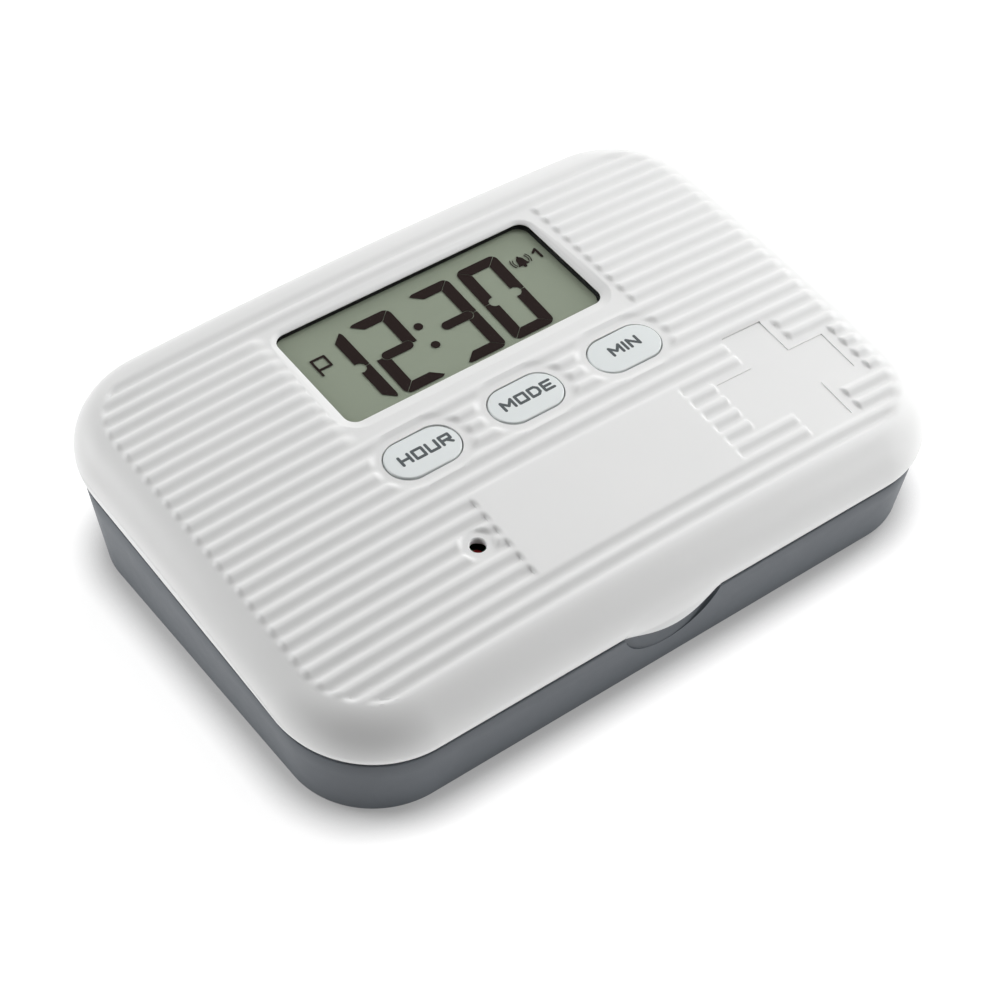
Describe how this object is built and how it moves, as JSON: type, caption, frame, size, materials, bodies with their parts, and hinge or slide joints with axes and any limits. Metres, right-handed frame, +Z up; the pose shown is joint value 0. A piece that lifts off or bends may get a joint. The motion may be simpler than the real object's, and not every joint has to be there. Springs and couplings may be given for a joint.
{
  "type": "electronic pill box",
  "caption": "Wedge-shaped pill box: ribbed white lid with a clock display, push buttons and alarm lamp, hinged on a grey tray with compartments",
  "frame": {"origin": "centre of the bounding box, on the surface that the box stands on", "axes": "+X to the right as the display is read, +Y to the hinge at the back, +Z up"},
  "size_m": [0.1216, 0.0878, 0.0305],
  "materials": {
    "white_shell": "satin ABS",
    "slate_shell": "fine matt texture",
    "cool_white_cap": "satin",
    "inner_white": "satin",
    "clear_window": "clear polished",
    "black_foam": "soft foam",
    "display": "reflective display",
    "black_plastic": "satin",
    "grey_rubber": "silicone",
    "green_board": "solder mask",
    "steel": "nickel plated",
    "brass": "plain",
    "red_lamp": "clear tinted"
  },
  "bodies": {
    "base": {"base_tray": "slate_shell", "hinge_pin_left": "steel", "hinge_pin_right": "steel"},
    "lid": {"lid_shell": "white_shell", "inner_cover": "inner_white", "cover_screw_1": "steel", "cover_screw_2": "steel", "cover_screw_3": "steel", "cover_screw_4": "steel", "window_lens": "clear_window", "window_gasket": "black_foam", "lcd_panel": "display", "lcd_frame": "black_plastic", "lcd_connector": "grey_rubber", "button_pad": "grey_rubber", "circuit_board": "green_board", "board_screw_1": "steel", "board_screw_2": "steel", "board_screw_3": "steel", "alarm_lamp": "red_lamp", "controller_chip": "black_plastic", "clock_crystal": "steel", "alarm_buzzer": "black_plastic", "coin_cell": "steel", "cell_contact_top": "brass", "cell_contact_side": "brass"},
    "hour_button_body": {"hour_button": "cool_white_cap"},
    "mode_button_body": {"mode_button": "cool_white_cap"},
    "minute_button_body": {"minute_button": "cool_white_cap"},
    "door": {"battery_door": "inner_white"}
  },
  "joints": [
    {"name": "lid_hinge", "type": "hinge", "parent": "base", "child": "lid", "pos_m": [0, 0.04194, 0.0197], "axis": [-1, 0, 0], "range_deg": [0, 110]},
    {"name": "hour_press", "type": "slide", "parent": "lid", "child": "hour_button_body", "axis": [0, 0.074, -0.9973], "range_m": [0, 0.0006], "stiffness_N_per_m": 2000},
    {"name": "mode_press", "type": "slide", "parent": "lid", "child": "mode_button_body", "axis": [0, 0.074, -0.9973], "range_m": [0, 0.0006], "stiffness_N_per_m": 2000},
    {"name": "minute_press", "type": "slide", "parent": "lid", "child": "minute_button_body", "axis": [0, 0.074, -0.9973], "range_m": [0, 0.0006], "stiffness_N_per_m": 2000},
    {"name": "battery_door_turn", "type": "hinge", "parent": "lid", "child": "door", "pos_m": [0.038, -0.01905, 0.01558], "axis": [0, -0.074, 0.9973], "range_deg": [0, 45]}
  ]
}
